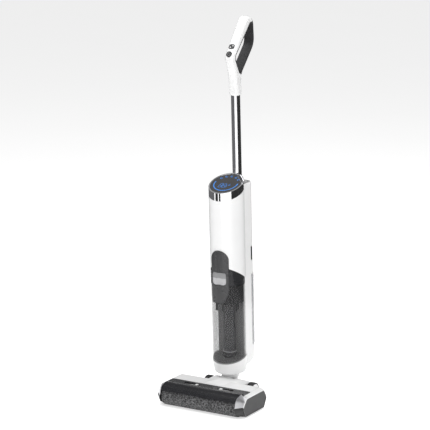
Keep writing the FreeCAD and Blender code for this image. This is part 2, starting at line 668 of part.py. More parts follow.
def cup_profile(inset):
    """Half section of the cup: a round foot that swells into the straight body."""
    r_body = BODY_R - inset
    r_waist = CUP_WAIST_R - inset
    foot = V(CUP_FOOT_R - inset, 0, COLLAR_TOP + inset)
    waist = V(r_waist, 0, CUP_WAIST_Z + inset / 2)
    turn = V(r_waist - 2.2, 0, COLLAR_TOP + inset + 2.4)
    shoulder = V(r_body, 0, CUP_RIM_Z - 18.0)
    top = V(r_body, 0, CUP_RIM_Z + 20.0)
    edges = [
        Part.LineSegment(V(0, 0, foot.z), foot).toShape(),
        Part.Arc(foot, turn, waist).toShape(),
        Part.LineSegment(waist, shoulder).toShape(),
        Part.LineSegment(shoulder, top).toShape(),
        Part.LineSegment(top, V(0, 0, top.z)).toShape(),
        Part.LineSegment(V(0, 0, top.z), V(0, 0, foot.z)).toShape(),
    ]
    return Part.Face(Part.Wire(edges)).revolve(V(0, 0, 0), V(0, 0, 1), 360)


def rear_rim_z():
    return CUP_RIM_Z + SPINE_FRONT * math.tan(math.radians(CUP_SLOPE_DEG))


def bottom_cup():
    """White cup under the tank, with the collar that turns on the neck's swivel."""
    behind = box(-BODY_R - 1, BODY_R + 1, SPINE_FRONT, BODY_R + 1, 0.0, rear_rim_z())
    ahead = box(-BODY_R - 1, BODY_R + 1, -BODY_R - 1, SPINE_FRONT, 0.0, 200.0)
    cup = join(cup_profile(0.0).common(rim_top(0.0, False)).common(ahead), cup_profile(0.0).common(behind))
    deck = 3.0
    room = cup_profile(WALL + 0.5).common(rim_top(-deck, False))
    room = room.common(box(-BODY_R, BODY_R, -BODY_R, BODY_R, COLLAR_TOP + 4.0, rear_rim_z() - deck))
    cup = cup.cut(room)
    collar = rod_z(COLLAR_R, STUB_TOP + GAP, COLLAR_TOP + 5.0)
    cup = join(cup, collar)
    cup = cup.cut(rod_z(SWIVEL_PIN_R + RUN_FIT, 0.0, COLLAR_TOP + 20.0))
    cup = cup.cut(rod_z(DUCT_R + 2.0, COLLAR_TOP + 20.0, 200.0))
    keep_upright("bottom_cup", cup)


def spine_outline(inset):
    half = SPINE_HALF_W - inset
    corner = SPINE_CORNER_R - inset
    return [
        (-half, SPINE_FRONT, 0.0),
        (half, SPINE_FRONT, 0.0),
        (half, SPINE_REAR - inset, corner),
        (-half, SPINE_REAR - inset, corner),
    ]


def spine():
    """White rear housing: a rounded channel with the clean tank's recess in its back."""
    outer = prism_z(spine_outline(0.0), SPINE_BOTTOM - 6.0, SPINE_TOP)
    top_edges = [e for e in outer.Edges if e.BoundBox.ZMin > SPINE_TOP - 0.01]
    outer = outer.makeFillet(9.0, top_edges)
    tail = slanted(SPINE_BOTTOM - 21.0, 20.0, True)
    outer = outer.common(tail)
    inner = prism_z(spine_outline(WALL), SPINE_BOTTOM, SPINE_TOP - WALL)
    inner = inner.common(slanted(SPINE_BOTTOM - 21.0 + WALL, 20.0, True))
    inner = inner.cut(box(-100, 100, 0.0, SPINE_FRONT + WALL, 0.0, SHELL_EDGE_Z))
    recess = box(-100, 100, RECESS_Y, 200.0, RECESS_BOTTOM, RECESS_TOP)
    recess_wall = box(-100, 100, RECESS_Y - WALL, 200.0, RECESS_BOTTOM - WALL, RECESS_TOP + WALL)
    inner = inner.cut(recess_wall)
    housing = outer.cut(inner).cut(recess)
    housing = housing.cut(rod_z(BODY_R, tube_rear_z(), 700.0))
    housing = housing.cut(cup_profile(0.0).common(box(-100, 100, 0.0, 100, 0.0, rear_rim_z())))
    housing = housing.cut(rod_z(POLE_R + RUN_FIT, POLE_BOTTOM, 700.0, 0.0, POLE_Y))
    for i in range(6):
        z = 452.0 + 7.0 * i
        slit = [(-16.0, z, 1.4), (16.0, z, 1.4), (16.0, z + 3.2, 1.4), (-16.0, z + 3.2, 1.4)]
        vent = prism_y(slit, 70.0, 90.0)
        housing = housing.cut(vent)
    keep_upright("body_spine", biggest(housing))


def tube_rear_z():
    return SHELL_EDGE_Z - SPINE_FRONT * math.tan(math.radians(SHELL_EDGE_DEG))


def tongue_outline(grow):
    half = TONGUE_HALF_W + grow
    tip = half - 14.0
    return [
        (-tip, TONGUE_BOTTOM - grow, 9.0),
        (tip, TONGUE_BOTTOM - grow, 9.0),
        (half, TONGUE_BOTTOM + 30.0, 14.0),
        (half, TONGUE_TOP + grow, half - 0.05),
        (-half, TONGUE_TOP + grow, half - 0.05),
        (-half, TONGUE_BOTTOM + 30.0, 14.0),
    ]


def body_shell():
    """White tube from the tank's slanted edge up to the chrome band."""
    tube = rod_z(BODY_R, 250.0, 720.0).cut(rod_z(BODY_R - WALL, 200.0, 800.0))
    tube = tube.common(display_plane(-BAND_H, False))
    ahead = box(-100, 100, -100, SPINE_FRONT, 0, 800)
    behind = box(-100, 100, SPINE_FRONT, 100, tube_rear_z(), 800)
    front = tube.common(ahead).common(shell_edge(0.0, True))
    tube = join(front, tube.common(behind))
    tube = tube.cut(prism_y(tongue_outline(GAP), -100.0, 0.0))
    keep_upright("body_shell", tube)
    plate_r = BODY_R - 6.4
    plate_z0 = SHELL_EDGE_Z + BODY_R * math.tan(math.radians(SHELL_EDGE_DEG)) + 1.0
    plate = rod_z(plate_r, plate_z0, TONGUE_TOP + 6.0).cut(rod_z(plate_r - WALL, 0, 800))
    plate = plate.common(box(-TONGUE_HALF_W - 4, TONGUE_HALF_W + 4, -100, 0, 0, 800))
    keep_upright("latch_catch", plate)


def display():
    """Chrome band, dark glass and the board under it, all tilted to face the user."""
    band = rod_z(BODY_R, 500.0, 800.0).cut(rod_z(BODY_R - 4.0, 400.0, 900.0))
    band = band.common(display_plane(0.0, False)).common(display_plane(-BAND_H, True))
    keep_upright("display_band", band)
    glass = rod_z(BODY_R - 4.0 - 0.1, 500.0, 800.0)
    glass = glass.common(display_plane(-0.6, False)).common(display_plane(-0.6 - GLASS_T, True))
    keep_upright("display_glass", glass)
    board = rod_z(BODY_R - 6.5, 500.0, 800.0)
    board = board.common(display_plane(-6.0, False)).common(display_plane(-7.6, True))
    keep_upright("display_board", board)


def power_train():
    """Suction motor, its impeller, rubber mount, battery, pump and main board inside the tube."""
    motor_z0 = 470.0
    motor_z1 = 545.0
    can = rod_z(40.0, motor_z0, motor_z1).cut(rod_z(37.0, motor_z0 - 1, motor_z0 + 22.0))
    can = can.cut(rod_z(3.0 + RUN_FIT, motor_z0, motor_z0 + 50.0))
    keep_upright("suction_motor", can)
    wheel = rod_z(35.0, motor_z0 + 3.0, motor_z0 + 5.0)
    shaft = rod_z(3.0, motor_z0 + 1.0, motor_z0 + 48.0)
    hub = rod_z(8.0, motor_z0 + 3.0, motor_z0 + 17.0)
    blades = []
    for i in range(9):
        blade = box(7.0, 33.0, -0.7, 0.7, motor_z0 + 4.5, motor_z0 + 14.0)
        blade.rotate(V(0, 0, 0), V(0, 0, 1), 40.0 * i)
        blades.append(blade)
    keep_upright("impeller", join(wheel, shaft, hub, *blades))
    cells = []
    for ring in range(6):
        angle = math.radians(60.0 * ring)
        cells.append(rod_z(10.5, 384.0, 454.0, 25.0 * math.cos(angle), 4.0 + 25.0 * math.sin(angle)))
    keep_upright("battery_cells", Part.makeCompound(cells))
    board = box(-34.0, 34.0, BODY_R + BOARD_GAP, BODY_R + BOARD_GAP + 1.6, 428.0, 500.0)
    keep_upright("main_board", board)
    pump = join(rod_x(10.0, -20.0, 6.0, 34.0, 150.0), box(6.0, 22.0, 24.0, 44.0, 140.0, 160.0))
    keep_upright("water_pump", pump)


# ---- dirty-water tank --------------------------------------------------------------------------
def tank_room(inset):
    drum = rod_z(BODY_R - inset, 60.0, 500.0)
    return drum.common(box(-100, 100, -100, TANK_BACK - inset, 0, 800))


def dirty_tank():
    """Smoky vessel with a flat back, standing on the cup's slanted rim."""
    outer = tank_room(0.0).common(rim_top(GAP, True)).common(box(-100, 100, -100, 100, 0, LID_BOTTOM))
    inner = tank_room(TANK_WALL).common(rim_top(GAP + TANK_WALL, True))
    tank = outer.cut(inner)
    inlet = rod_z(DUCT_R, 60.0, 130.0).common(box(-50, 50, -50, TANK_BACK - TANK_WALL, 0, 200))
    keep_upright("dirty_tank", tank.cut(inlet))
    tube = rod_z(DUCT_R + 2.5, 60.0, 262.0).cut(rod_z(DUCT_R, 0.0, 400.0))
    flange = rod_z(DUCT_R + 6.0, 60.0, 108.0).cut(rod_z(DUCT_R, 0.0, 400.0))
    flange = flange.common(rim_top(GAP + TANK_WALL + 4.0, False))
    tube = join(tube, flange).common(rim_top(GAP + TANK_WALL, True))
    tube = tube.common(tank_room(TANK_WALL + 0.05))
    keep_upright("inlet_tube", tube)
    lid = tank_room(0.0).common(box(-100, 100, -100, 100, LID_BOTTOM, 500))
    lid = lid.common(shell_edge(-GAP, False))
    lid = lid.cut(prism_y(tongue_outline(0.0), -100.0, 0.0).cut(rod_z(tongue_in_r(), 0, 800)))
    keep_upright("tank_lid", lid)
    skirt = tank_room(TANK_WALL + 1.0).common(box(-100, 100, -100, 100, 264.0, LID_BOTTOM))
    skirt = skirt.cut(tank_room(TANK_WALL + 4.0).common(box(-100, 100, -100, 100, 0, LID_BOTTOM - 3.0)))
    keep_upright("tank_filter", skirt)
    probes = [rod_z(2.0, 240.0, LID_BOTTOM - 3.0, 33.0, y) for y in (-14.0, -4.0)]
    keep_upright("level_probes", Part.makeCompound(probes))


def tongue_in_r():
    return BODY_R - 5.5


def latch_tongue():
    """Dark cover on the tank's front that reaches up into the white shell, with its button."""
    ring = rod_z(BODY_R + TONGUE_PROUD, 200.0, 500.0).cut(rod_z(BODY_R + 0.05, 100.0, LID_BOTTOM))
    ring = ring.cut(rod_z(tongue_in_r(), 100.0, 600.0))
    tongue = ring.common(prism_y(tongue_outline(0.0), -100.0, 0.0))
    seat = prism_y(button_outline(GAP), -100.0, -BODY_R + 7.5)
    tongue = tongue.cut(seat)
    keep_upright("latch_tongue", tongue)
    button = rod_z(BODY_R + TONGUE_PROUD + 1.2, 200.0, 500.0).cut(rod_z(BODY_R - 0.5, 100.0, 600.0))
    button = button.common(prism_y(button_outline(0.0), -100.0, 0.0))
    scoop = Part.makeSphere(26.0, V(0.0, -BODY_R - TONGUE_PROUD - 23.0, BUTTON_BOTTOM + 9.0))
    keep_upright("tank_release_button", button.cut(scoop))
    hooks = []
    for x in (-13.0, 7.0):
        leg = box(x, x + 6.0, -BODY_R - 2.0, -BODY_R + 0.6, 250.0, TONGUE_BOTTOM + 14.0)
        toe = box(x, x + 6.0, -BODY_R - 2.0, -BODY_R + 2.0, 246.0, 250.0)
        hooks.append(join(leg, toe).cut(rod_z(BODY_R + 0.05, 100.0, 400.0)))
    hook_group = [h.cut(prism_y(tongue_outline(0.05), -100.0, 0.0)) for h in hooks]
    keep_upright("lid_hooks", Part.makeCompound(hook_group))


def button_outline(grow):
    half = BUTTON_HALF_W + grow
    return [
        (-half, BUTTON_BOTTOM - grow, 8.0),
        (half, BUTTON_BOTTOM - grow, 8.0),
        (half, BUTTON_TOP + grow, 6.0),
        (-half, BUTTON_TOP + grow, 6.0),
    ]


# ---- clean-water tank --------------------------------------------------------------------------
def clean_block(z0, z1, rear, inset=0.0):
    half = SPINE_HALF_W - 0.6 - inset
    return prism_z([
        (-half, RECESS_Y + GAP + inset, 1.0),
        (half, RECESS_Y + GAP + inset, 1.0),
        (half, rear - inset, SPINE_CORNER_R - 2.0 - inset),
        (-half, rear - inset, SPINE_CORNER_R - 2.0 - inset),
    ], z0, z1)


def clean_tank():
    """Translucent tank in the recess behind the spine, with its white cap and black latch."""
    tank = clean_block(CLEAN_BOTTOM, CLEAN_TOP, CLEAN_REAR)
    taper = slanted(CLEAN_BOTTOM - 26.0, 20.0, True)
    tank = tank.common(taper)
    room = clean_block(CLEAN_BOTTOM + TANK_WALL, CLEAN_TOP + 1.0, CLEAN_REAR, TANK_WALL).common(
        slanted(CLEAN_BOTTOM - 26.0 + TANK_WALL, 20.0, True))
    keep_upright("clean_tank", tank.cut(room))
    cap = clean_block(CLEAN_TOP + 0.2, CAP_TOP, SPINE_REAR)
    cap = cap.cut(clean_block(CLEAN_TOP + 4.0, CAP_TOP + 1.0, SPINE_REAR, TANK_WALL))
    keep_upright("clean_tank_cap", cap)
    latch = clean_block(CAP_TOP + GAP, RECESS_TOP - 1.0, SPINE_REAR - 1.0)
    latch = latch.cut(box(-100, 100, 0.0, RECESS_Y + LATCH_TRAVEL + 1.5, 0, 800))
    pull = Part.makeCylinder(13.0, 100.0, V(-50.0, SPINE_REAR + 6.0, CAP_TOP + 21.0), V(1, 0, 0))
    keep_upright("clean_tank_latch", latch.cut(pull))


# ---- pole and handle ---------------------------------------------------------------------------
def pole():
    tube = rod_z(POLE_R, POLE_BOTTOM, SLEEVE_BOTTOM + POLE_SEAT, 0.0, POLE_Y)
    tube = tube.cut(rod_z(POLE_R - POLE_WALL, POLE_BOTTOM - 1, SLEEVE_BOTTOM + POLE_SEAT + 1.0, 0.0, POLE_Y))
    keep_upright("pole", tube)
    collar = rod_z(POLE_R + 3.0, POLE_BOTTOM + 2.0, POLE_BOTTOM + 30.0, 0.0, POLE_Y)
    collar = collar.cut(rod_z(POLE_R, POLE_BOTTOM, 700.0, 0.0, POLE_Y)).cut(rod_z(BODY_R + 0.2, 400.0, 800.0))
    keep_upright("pole_socket", biggest(collar))


LOOP_OUT = [
    (POLE_Y - SLEEVE_R, SLEEVE_BOTTOM, 0.0),
    (POLE_Y - SLEEVE_R - 3.5, SLEEVE_BOTTOM + 48.0, 60.0),
    (POLE_Y - BEND_AHEAD, SLEEVE_BOTTOM + BEND_UP, 22.0),
    (POLE_Y + CREST_BACK, SLEEVE_BOTTOM + CREST_UP, 20.0),
    (POLE_Y + 88.5, SLEEVE_BOTTOM + 211.0, 28.0),
    (POLE_Y + 93.0, SLEEVE_BOTTOM + 131.0, 50.0),
    (POLE_Y + SLEEVE_R, SLEEVE_BOTTOM + 55.0, 34.0),
    (POLE_Y + SLEEVE_R, SLEEVE_BOTTOM, 0.0),
]
LOOP_IN = [
    (POLE_Y + 3.0, SLEEVE_BOTTOM + 60.0, 5.0),
    (POLE_Y + 81.0, SLEEVE_BOTTOM + 136.0, 30.0),
    (POLE_Y + 76.0, SLEEVE_BOTTOM + 203.0, 8.0),
    (POLE_Y - 23.0, SLEEVE_BOTTOM + 110.0, 16.0),
]


def widened(corners, by):
    """The (y, z, radius) corners with every edge moved outwards by the same distance."""
    grown = []
    for i, (y, z, r) in enumerate(corners):
        here = V(0, y, z)
        to_last = (V(0, *corners[i - 1][:2]) - here).normalize()
        to_next = (V(0, *corners[(i + 1) % len(corners)][:2]) - here).normalize()
        reach = by / math.sin(to_last.getAngle(to_next) / 2)
        moved = here - (to_last + to_next).normalize() * reach
        grown.append((moved.y, moved.z, r + by))
    return grown


def handle():
    """White loop handle, a dark grip that lines its opening and makes its rear leg, and two buttons."""
    loop = prism_x(LOOP_OUT, -HANDLE_HALF_W, HANDLE_HALF_W)
    rim = [e for e in loop.Edges if abs(abs(e.BoundBox.XMin) - HANDLE_HALF_W) < 0.01
           and abs(e.BoundBox.XMax - e.BoundBox.XMin) < 0.01 and e.BoundBox.ZMax > SLEEVE_BOTTOM + 1.0]
    loop = loop.makeFillet(HANDLE_EDGE_R, rim)
    flare = Part.makeCone(SLEEVE_R, SLEEVE_R + 20.0, FLARE_H, V(0.0, POLE_Y, SLEEVE_BOTTOM))
    above = box(-50.0, 50.0, 0.0, 200.0, SLEEVE_BOTTOM + FLARE_H, SLEEVE_BOTTOM + 353.0)
    loop = join(loop.common(flare), loop.common(above))
    loop = loop.cut(prism_x(LOOP_IN, -50.0, 50.0))
    rear_leg = prism_x([
        (POLE_Y + 5.0, SLEEVE_BOTTOM + 57.0, 0.0),
        (POLE_Y + 120.0, SLEEVE_BOTTOM + 57.0, 0.0),
        (POLE_Y + 120.0, SLEEVE_BOTTOM + 178.0, 0.0),
        (POLE_Y + 79.0, SLEEVE_BOTTOM + 202.0, 6.0),
        (POLE_Y + 40.0, SLEEVE_BOTTOM + 130.0, 0.0),
    ], -50.0, 50.0)
    grip_zone = join(prism_x(widened(LOOP_IN, LINER_T), -50.0, 50.0), rear_leg)
    grip = loop.common(grip_zone)
    shell = loop.cut(grip_zone)
    shell = shell.cut(rod_z(POLE_R, SLEEVE_BOTTOM - 10.0, SLEEVE_BOTTOM + POLE_SEAT, 0.0, POLE_Y))
    keep_upright("handle_grip", biggest(grip))
    sink_deg = math.degrees(math.atan2(CREST_UP - BEND_UP, CREST_BACK + BEND_AHEAD))
    buttons = []
    seat_span = (BUTTON_GAP, -BUTTON_DEPTH - BUTTON_ROOM, 30.0)
    button_span = (0.0, -BUTTON_DEPTH, BUTTON_PROUD)
    for name, along, half_w, half_h, corner, lean in BUTTONS:
        for grow, low, high in (seat_span, button_span):
            shape = prism_z([
                (-half_w - grow, -half_h - grow, corner),
                (half_w + grow, -half_h - grow, corner),
                (half_w + grow, half_h + grow, corner),
                (-half_w - grow, half_h + grow, corner),
            ], low, high)
            shape.rotate(V(0, 0, 0), V(1, 0, 0), lean)
            shape.translate(V(0.0, along, 0.0))
            shape.rotate(V(0, 0, 0), V(1, 0, 0), sink_deg)
            shape.translate(V(0.0, POLE_Y - BEND_AHEAD, SLEEVE_BOTTOM + BEND_UP))
            if grow > 0:
                shell = shell.cut(shape)
            else:
                buttons.append((name, shape))
    for name, shape in buttons:
        keep_upright(name, shape)
    keep_upright("handle_shell", biggest(shell))


# ---- fasteners and contacts --------------------------------------------------------------------
def fasteners():
    screws = []
    for x in (-100.0, -36.0, 36.0, 100.0):
        for y in (56.0, 92.0):
            screws.append(screw(SCREW_R, SCREW_LEN, x, y, HEAD_FLOOR_Z, V(0, 0, 1)))
    keep_head("base_screws", Part.makeCompound(screws))
    PARTS["head_base"] = PARTS["head_base"].cut(PARTS["base_screws"])
    pins = [rod_y(2.5, SPINE_REAR - 3.6, SPINE_REAR - 0.2, x, 98.0) for x in (-9.0, 9.0)]
    keep_upright("charging_contacts", Part.makeCompound(pins))
    PARTS["body_spine"] = PARTS["body_spine"].cut(PARTS["charging_contacts"])


def build():
    side_cover(1)
    side_cover(-1)
    head_base()
    head_cover()
    roller_window()
    corner_trims()
    roller()
    belt()
    roller_motor()
    water_bar()
    suction_duct()
    wheels()
    neck()
    bottom_cup()
    spine()
    body_shell()
    display()
    power_train()
    dirty_tank()
    latch_tongue()
    clean_tank()
    pole()
    handle()
    fasteners()


build()
low_y = min(s.optimalBoundingBox(False).YMin for s in PARTS.values())
high_y = max(s.optimalBoundingBox(False).YMax for s in PARTS.values())
low_z = min(s.optimalBoundingBox(False).ZMin for s in PARTS.values())
SHIFT_Y = -(low_y + high_y) / 2
SHIFT_Z = -low_z
os.makedirs("parts", exist_ok=True)
for name, shape in PARTS.items():
    shape.translate(V(0, SHIFT_Y, SHIFT_Z))
    shape.exportStep("parts/" + name + ".step")
print("nodes", len(PARTS), "shift", round(SHIFT_Y, 4), round(SHIFT_Z, 4))
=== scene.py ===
import json
import math

import bpy
import numpy as np
from bpy.props import FloatProperty, FloatVectorProperty, PointerProperty
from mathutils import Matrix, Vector


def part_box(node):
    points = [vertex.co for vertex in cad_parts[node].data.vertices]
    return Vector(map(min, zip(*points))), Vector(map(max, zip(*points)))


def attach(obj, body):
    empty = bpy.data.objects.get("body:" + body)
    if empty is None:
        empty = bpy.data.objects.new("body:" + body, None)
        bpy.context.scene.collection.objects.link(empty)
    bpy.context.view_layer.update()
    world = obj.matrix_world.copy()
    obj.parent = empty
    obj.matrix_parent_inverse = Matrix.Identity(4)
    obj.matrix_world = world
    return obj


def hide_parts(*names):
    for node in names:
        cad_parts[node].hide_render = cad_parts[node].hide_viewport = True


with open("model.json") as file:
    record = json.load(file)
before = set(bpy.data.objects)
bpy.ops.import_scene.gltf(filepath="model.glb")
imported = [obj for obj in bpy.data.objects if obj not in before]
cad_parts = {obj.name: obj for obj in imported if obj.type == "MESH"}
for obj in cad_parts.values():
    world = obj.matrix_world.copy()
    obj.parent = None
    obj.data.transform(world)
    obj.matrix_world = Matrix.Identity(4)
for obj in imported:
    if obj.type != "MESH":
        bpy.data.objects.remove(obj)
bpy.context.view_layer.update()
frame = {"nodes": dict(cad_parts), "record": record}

bl_info = {
    "name": "Floor scrubber finish",
    "version": (1, 0, 0),
    "blender": (4, 5, 0),
    "location": "3D View > Sidebar > Scrubber",
    "description": "Finishes an upright wet dry floor scrubber around its fixed frame",
    "category": "Object",
}

MM = 0.001
LEAN = math.radians(2.7)
TILT = math.radians(20.0)
FLOOR_REACH = 60.0
FLAG_REACH = 1.1
FLAG_SPLIT = 0.32
FLAG_TOP = 1.7
FLAG_STEPS = 24
END_FOOT = 0.033
DISPLAY_Z = 0.606
GLASS_SINK = 0.0006
HANDLE_BEND_Y = 0.0255
HANDLE_BEND_Z = 0.960
HANDLE_SLOPE = math.atan2(103.0, 89.5)
BUTTON_PROUD = 0.6 * MM
TUBE_FOOT_Z = 0.113
TANK_BACK = 5.0 * MM
LENS = 167.4
SENSOR = 36.0
LAMPS_AIM = (0, 0, 0.5)
# Nodes whose finish isn't the one their slot gives.
OWN_FINISH = {
    "side_cover_left": "end_shell",
    "side_cover_right": "end_shell",
    "inlet_tube": "tube_smoke",
}
# Name, place, width across and power of each lamp.
LAMPS = (
    ("key", (0.4, -3.4, 2.0), 1.6, 20.0),
    ("fill", (2.6, -2.2, 1.0), 1.4, 5.0),
    ("rear", (0.8, 2.6, 2.4), 2.0, 8.0),
    ("top", (0.2, -0.4, 3.2), 3.0, 80.0),
)
GREY_CLOTH = (0.13, 0.13, 0.135)
BLACK_CLOTH = (0.02, 0.02, 0.02)
# Name, first and last angle, foot and top, and tone of each wall that the bright metal mirrors.
FLAGS = (
    ("flag_left_high", -170.0, -32.0, FLAG_SPLIT, FLAG_TOP, GREY_CLOTH),
    ("flag_left_far", -170.0, -84.0, 0.0, FLAG_SPLIT, GREY_CLOTH),
    ("flag_left_mid", -76.0, -56.0, 0.0, FLAG_SPLIT, BLACK_CLOTH),
    ("flag_left_near", -50.0, -38.0, 0.0, FLAG_SPLIT, BLACK_CLOTH),
    ("flag_right", 32.0, 170.0, 0.0, FLAG_TOP, BLACK_CLOTH),
)


def node_mid(name):
    low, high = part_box(name)
    return (np.array(low) + np.array(high)) / 2


PIVOT = np.array([0.0, node_mid("wheel_axles")[1], node_mid("wheel_axles")[2]])
ROLLER = node_mid("roller_sleeve")
# Height of the release button's fold, above which its shade is painted.
RELEASE_SHADE_FOLD = node_mid("tank_release_button")[2] + 0.0015
AIM_AT = np.array([-0.0315, ROLLER[1] + 0.1205, 0.5375])


def upright(points):
    """Points of the leaning body, given upright about the pivot in metres, put in the frame."""
    p = np.asarray(points, dtype=float)
    y = p[..., 1] * math.cos(LEAN) - p[..., 2] * math.sin(LEAN)
    z = p[..., 1] * math.sin(LEAN) + p[..., 2] * math.cos(LEAN)
    return np.stack([p[..., 0], y, z], axis=-1) + PIVOT


# ---- sizes and colours a user would change -----------------------------------------------------
def colour(name, description, default):
    return FloatVectorProperty(name=name, description=description, subtype="COLOR", size=3,
                               min=0.0, max=1.0, default=default)


def length(name, description, default):
    return FloatProperty(name=name, description=description, default=default, unit="LENGTH",
                         subtype="DISTANCE", min=0.0)


def angle(name, description, degrees):
    return FloatProperty(name=name, description=description, default=math.radians(degrees),
                         subtype="ANGLE", unit="ROTATION")


class ScrubberColours(bpy.types.PropertyGroup):
    shell: colour("Shell", "White moulded housings", (0.86, 0.86, 0.86))
    panel: colour("End panel", "Dark fine-textured end panels", (0.035, 0.035, 0.037))
    chassis: colour("Chassis", "Black moulded structure", (0.02, 0.02, 0.021))
    tongue: colour("Tongue", "Dark satin tongue on the tank", (0.04, 0.04, 0.042))
    release: colour("Release button", "Grey tank button", (0.42, 0.42, 0.43))
    smoke: colour("Smoke", "Tint of the smoked tank", (0.03, 0.03, 0.032))
    window: colour("Window", "Tint of the roller window", (0.03, 0.03, 0.033))
    water: colour("Clean tank", "Tint of the clean-water tank", (0.42, 0.43, 0.45))
    trim: colour("Trim", "Silver corner trims", (0.80, 0.80, 0.82))
    pile_dark: colour("Pile dark", "Dark strands of the roller", (0.028, 0.028, 0.029))
    pile_light: colour("Pile light", "Light strands of the roller", (0.17, 0.17, 0.173))
    grip: colour("Grip", "Soft dark grip", (0.03, 0.03, 0.032))
    glow: colour("Display light", "Blue of the display marks", (0.03, 0.13, 0.37))


class ScrubberSizes(bpy.types.PropertyGroup):
    pile_depth: length("Pile depth", "Height of the roller's tufts", 1.1 * MM)
    mark_lift: length("Mark lift", "Thickness of the display marks", 0.12 * MM)
    camera_distance: length("Camera distance", "From the look-at point", 5.635)
    camera_azimuth: angle("Camera azimuth", "Round from the front", 30.494)
    camera_elevation: angle("Camera elevation", "Above the horizon", 12.567)


# ---- shader maths ------------------------------------------------------------------------------
class Value:
    """A socket in a material; arithmetic on it adds Math nodes."""

    def __init__(self, finish, socket):
        self.finish = finish
        self.socket = socket

    def _math(self, operation, first, second):
        return self.finish.node("ShaderNodeMath", {"operation": operation}, {0: first, 1: second})

    def __add__(self, other):
        return self._math("ADD", self, other)

    def __radd__(self, other):
        return self._math("ADD", other, self)

    def __sub__(self, other):
        return self._math("SUBTRACT", self, other)

    def __rsub__(self, other):
        return self._math("SUBTRACT", other, self)

    def __mul__(self, other):
        return self._math("MULTIPLY", self, other)

    def __rmul__(self, other):
        return self._math("MULTIPLY", other, self)

    def __gt__(self, other):
        return self._math("GREATER_THAN", self, other)


class Finish:
    """One material: a Principled shader and the nodes that feed it."""

    def __init__(self, name, **constants):
        self.material = bpy.data.materials.new(name)
        self.material.use_nodes = True
        self.tree = self.material.node_tree
        self.shader = self.tree.nodes["Principled BSDF"]
        for key, value in constants.items():
            self.set(key.replace("_", " "), value)

    def set(self, socket_name, value):
        names = {s.name.lower(): s for s in self.shader.inputs}
        self._feed(names[socket_name.lower()], value)

    def _feed(self, socket, value):
        if isinstance(value, Value):
            self.tree.links.new(value.socket, socket)
        elif socket.type == "RGBA" and len(value) == 3:
            socket.default_value = (*value, 1.0)
        else:
            socket.default_value = value

    def node(self, kind, settings=None, inputs=None, output=0):
        made = self.tree.nodes.new(kind)
        stops = None
        for key, value in (settings or {}).items():
            if key == "stops":
                stops = value
            else:
                setattr(made, key, value)
        if stops:
            ramp = made.color_ramp
            for i, (place, tone) in enumerate(stops):
                stop = ramp.elements[i] if i < 2 else ramp.elements.new(place)
                stop.position = place
                stop.color = (*tone, 1.0) if len(tone) == 3 else tone
        for key, value in (inputs or {}).items():
            self._feed(made.inputs[key], value)
        return Value(self, made.outputs[output])

    def place(self):
        return self.node("ShaderNodeTexCoord", output=3)

    def axis(self, which):
        """One Object coordinate, in metres: 0 is X, 1 is Y and 2 is Z."""
        return self.node("ShaderNodeSeparateXYZ", None, {"Vector": self.place()}, which)

    def noise(self, scale, detail=3.0, where=None, roughness=0.5):
        inputs = {"Vector": where or self.place(), "Scale": scale, "Detail": detail, "Roughness": roughness}
        return self.node("ShaderNodeTexNoise", None, inputs)

    def cells(self, scale):
        return self.node("ShaderNodeTexVoronoi", None, {"Vector": self.place(), "Scale": scale})

    def blend(self, mask, first, second):
        return self.node("ShaderNodeMix", {"data_type": "RGBA"}, {"Factor": mask, 6: first, 7: second}, 2)

    def bump(self, height, strength, distance):
        inputs = {"Height": height, "Strength": strength, "Distance": distance}
        made = self.node("ShaderNodeBump", None, inputs)
        self.set("Normal", made)


def shade(tone, factor):
    return tuple(min(1.0, c * factor) for c in tone)


def moulded(name, tone, roughness, grain, depth, coat=0.0):
    """Moulded plastic: faint tone drift, uneven gloss and a fine grain."""
    made = Finish(name, coat_weight=coat, coat_roughness=0.08)
    drift = made.noise(14.0, 2.0)
    made.set("Base Color", made.blend(drift, shade(tone, 0.97), shade(tone, 1.03)))
    made.set("Roughness", roughness + (made.noise(60.0, 4.0) - 0.5) * 0.12)
    made.bump(made.noise(grain, 2.0), 0.25, depth)
    return made.material


def finishes():
    """Every slot's material, by the slot's name."""
    c = bpy.context.scene.scrubber_colours
    made = {
        "white_shell": moulded("White shell", c.shell, 0.22, 900.0, 0.00004, 0.25),
        "dark_panel": moulded("End panel", c.panel, 0.5, 2600.0, 0.00012),
        "chassis_black": moulded("Chassis", c.chassis, 0.5, 1800.0, 0.0001),
        "silver_trim": bright("Silver trim", tuple(c.trim), 0.34, 1200.0),
        "button_dark": moulded("Tongue satin", c.tongue, 0.28, 1500.0, 0.00004),
        "button_grey": release_grey(),
        "grip_rubber": moulded("Grip rubber", c.grip, 0.55, 3200.0, 0.00012),
        "black_rubber": moulded("Black rubber", c.chassis, 0.6, 1400.0, 0.00015),
        "filter_foam": moulded("Filter frame", shade(c.chassis, 1.2), 0.4, 1300.0, 0.0001),
        "tube_grey": moulded("Tube grey", (0.62, 0.62, 0.63), 0.25, 1000.0, 0.00004),
        "cell_wrap": moulded("Cell wrap", (0.05, 0.16, 0.42), 0.3, 600.0, 0.00003),
    }
    made["smoke_tank"] = smoked("Smoked tank", c.smoke, 0.25)
    made["tube_smoke"] = smoked("Tube smoke", (0.20, 0.20, 0.205), 0.62)
    made["smoke_window"] = smoked("Smoked window", c.window, 0.70)
    made["clear_tank"] = smoked("Clean tank", c.water, 0.45)
    made["chrome"] = bright("Chrome", (0.88, 0.88, 0.9), 0.04, 300.0)
    made["motor_metal"] = bright("Motor steel", (0.55, 0.55, 0.57), 0.32, 900.0)
    made["fastener_steel"] = bright("Zinc steel", (0.62, 0.62, 0.64), 0.25, 900.0)
    made["display_glass"] = display_black()
    made["roller_fabric"] = roller_pile()
    made["circuit_board"] = board_green()
    made["end_shell"] = end_shell()
    return made


